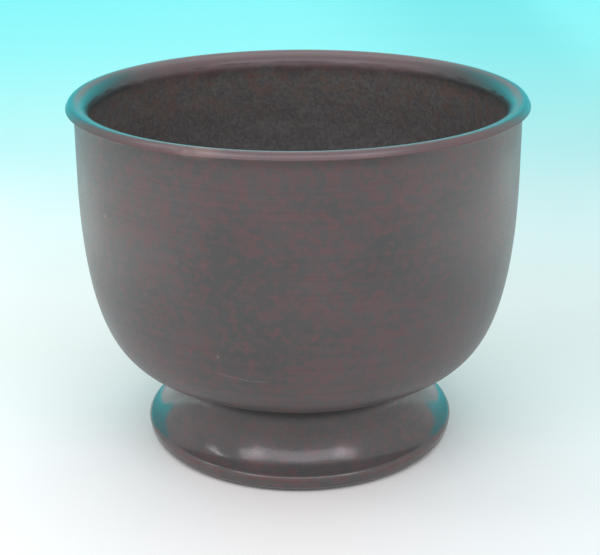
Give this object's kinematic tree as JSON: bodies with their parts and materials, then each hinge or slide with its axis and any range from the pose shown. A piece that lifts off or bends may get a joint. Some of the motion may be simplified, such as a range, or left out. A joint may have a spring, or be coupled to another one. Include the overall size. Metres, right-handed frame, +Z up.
{
  "type": "footed bowl",
  "caption": "Footed flower bowl: a round cast bowl with a rounded lip, held by a centre stud and nut on a flared, hollow pedestal foot.",
  "frame": {"origin": "centre of the bottom, on the surface the bowl stands on", "axes": "+Z up, along the axis the bowl and foot are turned about; X and Y are alike"},
  "size_m": [0.2515, 0.2514, 0.199],
  "materials": {
    "bowl_bronze": "dark brown patina mottled with red copper, satin",
    "foot_bronze": "dark brown patina mottled with red copper, satin",
    "gasket_rubber": "matt black sheet",
    "stud_steel": "zinc plated",
    "washer_steel": "zinc plated",
    "spring_washer_steel": "plain spring steel",
    "nut_steel": "zinc plated",
    "felt": "pressed dark green wool felt"
  },
  "bodies": {
    "root": {"bowl": "bowl_bronze", "foot": "foot_bronze", "seat_gasket": "gasket_rubber", "stud": "stud_steel", "washer": "washer_steel", "spring_washer": "spring_washer_steel", "hex_nut": "nut_steel", "felt_ring": "felt"}
  },
  "joints": []
}
